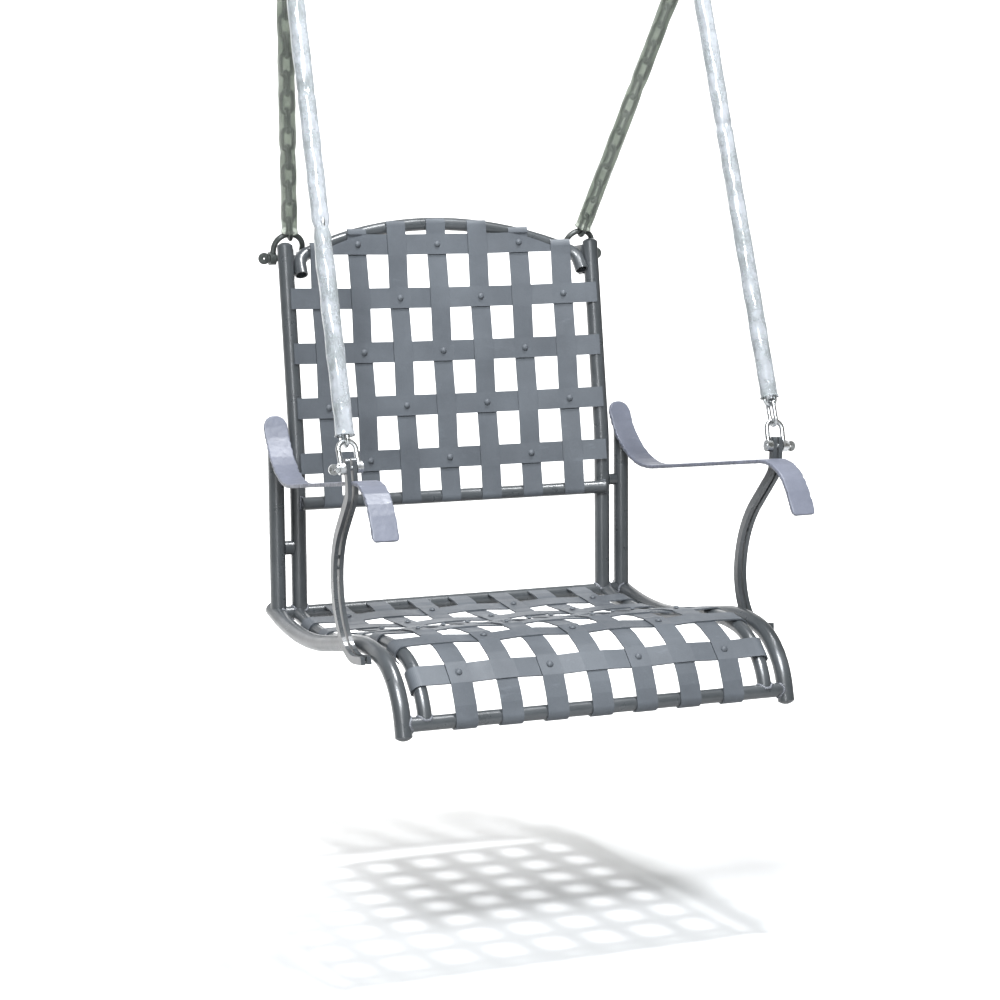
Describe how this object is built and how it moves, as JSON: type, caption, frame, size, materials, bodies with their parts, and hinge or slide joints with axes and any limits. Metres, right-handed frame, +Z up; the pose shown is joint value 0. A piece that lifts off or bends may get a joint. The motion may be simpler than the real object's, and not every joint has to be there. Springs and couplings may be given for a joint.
{
  "type": "porch_swing",
  "caption": "Hanging porch chair: woven steel strap seat and curved back on a bent tube frame, scrolled armrests, sleeved chains, rings and ceiling hooks.",
  "frame": {"origin": "on the ceiling plane, midway between the two hook shanks", "axes": "X across the chair, to the right of someone facing it from the front; the chair faces -Y; Z up"},
  "size_m": [0.5694, 0.4931, 1.0106],
  "materials": {
    "frame_paint": "satin",
    "strap_paint": "satin",
    "zinc": "satin",
    "black_chain": "satin",
    "clear_vinyl": "gloss"
  },
  "bodies": {
    "ceiling": {"hook_left": "zinc", "hook_right": "zinc"},
    "swing": {"ring_left": "zinc", "ring_right": "zinc", "chain_front_left": "zinc", "chain_front_right": "zinc", "chain_rear_left": "black_chain", "chain_rear_right": "black_chain", "sleeve_front_left": "clear_vinyl", "sleeve_front_right": "clear_vinyl", "sleeve_rear_left": "clear_vinyl", "sleeve_rear_right": "clear_vinyl", "shackle_front_left": "zinc", "shackle_front_right": "zinc", "shackle_rear_left": "black_chain", "shackle_rear_right": "black_chain", "shackle_pins_front": "zinc", "shackle_pins_rear": "black_chain", "shackle_lugs": "frame_paint", "side_rail_left": "frame_paint", "side_rail_right": "frame_paint", "seat_rail_left": "frame_paint", "seat_rail_right": "frame_paint", "arm_post_left": "frame_paint", "arm_post_right": "frame_paint", "back_post_left": "frame_paint", "back_post_right": "frame_paint", "armrest_left": "frame_paint", "armrest_right": "frame_paint", "arm_brace_left": "frame_paint", "arm_brace_right": "frame_paint", "front_bar": "frame_paint", "rear_bar": "frame_paint", "back_arch": "frame_paint", "back_bar": "frame_paint", "tube_plugs": "frame_paint", "post_spacers": "frame_paint", "back_strap_1": "strap_paint", "back_strap_2": "strap_paint", "back_strap_3": "strap_paint", "back_strap_4": "strap_paint", "back_strap_5": "strap_paint", "back_strap_6": "strap_paint", "back_strap_7": "strap_paint", "back_slat_1": "strap_paint", "back_slat_2": "strap_paint", "back_slat_3": "strap_paint", "back_slat_4": "strap_paint", "back_slat_5": "strap_paint", "seat_strap_1": "strap_paint", "seat_strap_2": "strap_paint", "seat_strap_3": "strap_paint", "seat_strap_4": "strap_paint", "seat_strap_5": "strap_paint", "seat_strap_6": "strap_paint", "seat_strap_7": "strap_paint", "seat_slats": "strap_paint", "back_rivets": "strap_paint", "seat_rivets": "strap_paint"}
  },
  "joints": [
    {"name": "swing", "type": "hinge", "parent": "ceiling", "child": "swing", "pos_m": [0, 0, -0.0577], "axis": [1, 0, 0], "range_deg": [-35, 35]}
  ]
}
